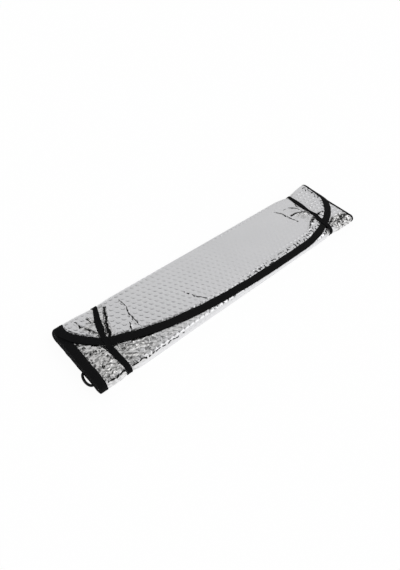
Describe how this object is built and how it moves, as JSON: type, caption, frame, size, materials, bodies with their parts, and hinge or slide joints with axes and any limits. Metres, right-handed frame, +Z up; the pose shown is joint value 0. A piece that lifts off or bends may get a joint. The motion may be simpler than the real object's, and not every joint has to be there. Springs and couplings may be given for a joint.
{
  "type": "windscreen sunshade",
  "caption": "Foldable windscreen sunshade of metallised bubble foil, rolled flat into a long pack, bound with black tape and held by elastic straps.",
  "frame": {"origin": "middle of the pack's footprint, on the surface that the straps rest on", "axes": "+X along the pack away from the hanging loop, +Y from the near rolled side to the far fold, +Z up"},
  "size_m": [0.6289, 0.1372, 0.0223],
  "materials": {
    "bubble_foil": "metallised film over bubbles, bright with soft reflections",
    "binding_tape": "black woven tape, sewn",
    "strap_elastic": "black ribbed elastic",
    "loop_cord": "black braided cord"
  },
  "bodies": {
    "root": {"foil_sheet": "bubble_foil", "edge_binding": "binding_tape", "elastic_strap_left": "strap_elastic", "elastic_strap_right": "strap_elastic", "hanging_loop": "loop_cord"}
  },
  "joints": []
}
